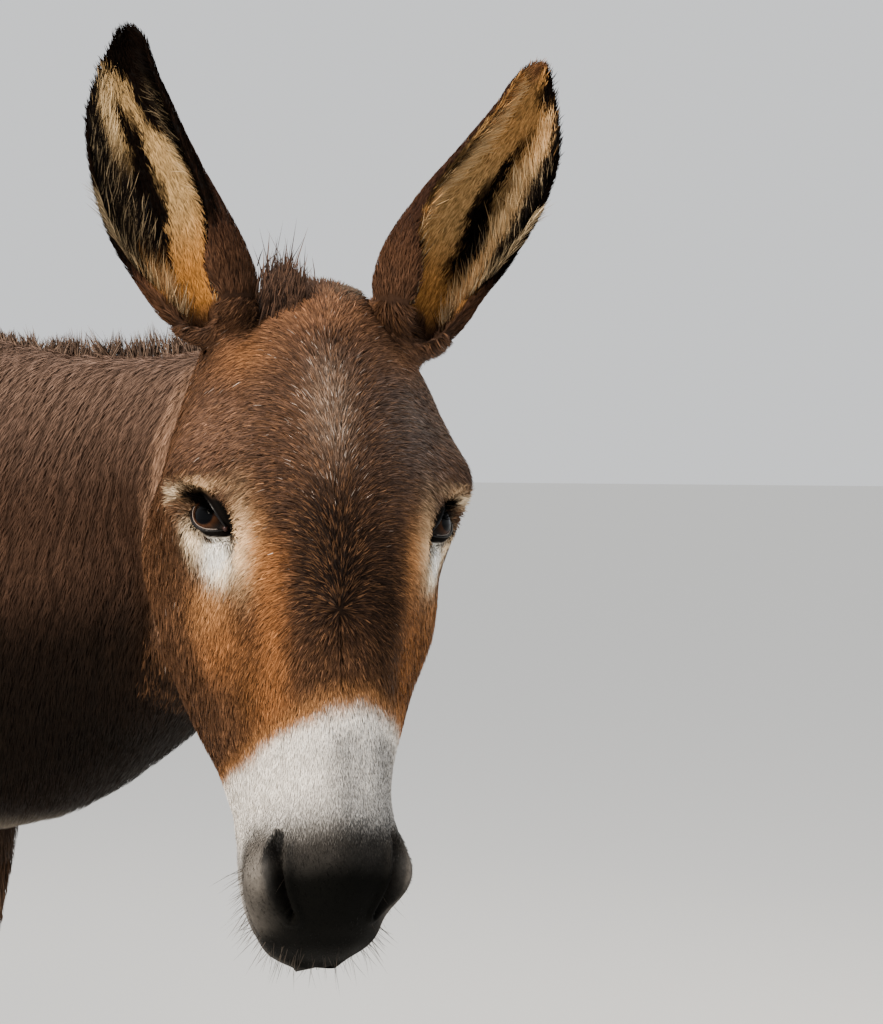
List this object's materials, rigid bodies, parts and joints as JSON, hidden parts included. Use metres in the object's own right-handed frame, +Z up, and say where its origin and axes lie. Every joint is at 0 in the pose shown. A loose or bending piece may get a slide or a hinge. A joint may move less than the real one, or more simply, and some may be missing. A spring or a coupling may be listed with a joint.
{
  "type": "standing donkey",
  "caption": "Life-size still donkey, standing with its neck stretched forward, its head turned to its right and lowered a little, and its long ears raised and open to the front.",
  "frame": {"origin": "on the floor, under the middle of the whole donkey's bounding box", "axes": "the body faces -Y, its left side is +X, +Z is up and the hooves' soles lie on Z = 0"},
  "size_m": [0.5194, 1.631, 1.3179],
  "materials": {
    "brown_coat": "short dense hair, matt",
    "dark_hair": "coarse long hair, matt",
    "hoof_horn": "grey-brown horn, satin",
    "eye_gloss": "wet gloss, dark brown"
  },
  "bodies": {
    "root": {"head": "brown_coat", "neck": "brown_coat", "trunk": "brown_coat", "ear_left": "brown_coat", "ear_right": "brown_coat", "eye_left": "eye_gloss", "eye_right": "eye_gloss", "foreleg_left": "brown_coat", "foreleg_right": "brown_coat", "hindleg_left": "brown_coat", "hindleg_right": "brown_coat", "forehoof_left": "hoof_horn", "forehoof_right": "hoof_horn", "hindhoof_left": "hoof_horn", "hindhoof_right": "hoof_horn", "mane": "dark_hair", "tail": "brown_coat", "tail_tuft": "dark_hair"}
  },
  "joints": []
}
